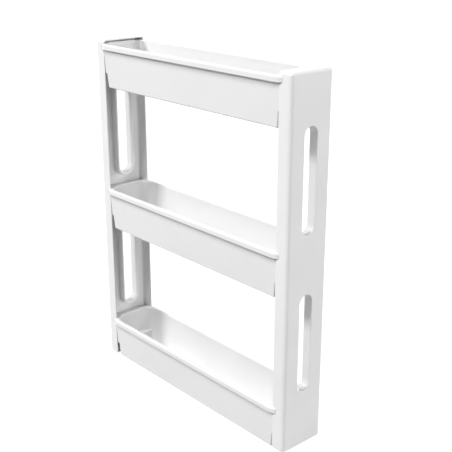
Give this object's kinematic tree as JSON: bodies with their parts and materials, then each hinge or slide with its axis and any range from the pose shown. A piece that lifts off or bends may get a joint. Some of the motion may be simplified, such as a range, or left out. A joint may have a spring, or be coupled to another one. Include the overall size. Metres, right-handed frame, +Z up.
{
  "type": "rolling storage cart",
  "caption": "Slim rolling storage cart: open trays with rolled rims between hollow end panels that have long hand slots, on small fixed rollers.",
  "frame": {"origin": "on the floor under the middle of the cart", "axes": "+X along the cart towards the right-hand end panel, +Y from the front to the back, +Z up"},
  "size_m": [0.568, 0.113, 0.72],
  "materials": {
    "panel_plastic": "white moulded polypropylene, soft gloss",
    "tray_plastic": "white moulded polypropylene, soft gloss",
    "roller_plastic": "white moulded nylon, matt",
    "wheel_plastic": "white moulded nylon, satin",
    "tyre_plastic": "pale grey soft plastic tread, matt",
    "axle_steel": "drawn steel pin",
    "screw_steel": "zinc-plated steel"
  },
  "bodies": {
    "cart_body": {"end_panel_left": "panel_plastic", "end_panel_right": "panel_plastic", "tray_top": "tray_plastic", "tray_middle": "tray_plastic", "tray_bottom": "tray_plastic", "tray_screws": "screw_steel", "roller_screws": "screw_steel", "roller_housing_front_left": "roller_plastic", "axle_pin_front_left": "axle_steel", "roller_housing_front_right": "roller_plastic", "axle_pin_front_right": "axle_steel", "roller_housing_back_left": "roller_plastic", "axle_pin_back_left": "axle_steel", "roller_housing_back_right": "roller_plastic", "axle_pin_back_right": "axle_steel"},
    "wheel_front_left": {"wheel_hub_front_left": "wheel_plastic", "wheel_tyre_front_left": "tyre_plastic"},
    "wheel_front_right": {"wheel_hub_front_right": "wheel_plastic", "wheel_tyre_front_right": "tyre_plastic"},
    "wheel_back_left": {"wheel_hub_back_left": "wheel_plastic", "wheel_tyre_back_left": "tyre_plastic"},
    "wheel_back_right": {"wheel_hub_back_right": "wheel_plastic", "wheel_tyre_back_right": "tyre_plastic"}
  },
  "joints": [
    {"name": "spin_front_left", "type": "hinge", "parent": "cart_body", "child": "wheel_front_left", "pos_m": [-0.2695, -0.039, 0.011], "axis": [0, 1, 0], "continuous": true},
    {"name": "spin_front_right", "type": "hinge", "parent": "cart_body", "child": "wheel_front_right", "pos_m": [0.2695, -0.039, 0.011], "axis": [0, 1, 0], "continuous": true},
    {"name": "spin_back_left", "type": "hinge", "parent": "cart_body", "child": "wheel_back_left", "pos_m": [-0.2695, 0.039, 0.011], "axis": [0, 1, 0], "continuous": true},
    {"name": "spin_back_right", "type": "hinge", "parent": "cart_body", "child": "wheel_back_right", "pos_m": [0.2695, 0.039, 0.011], "axis": [0, 1, 0], "continuous": true}
  ]
}
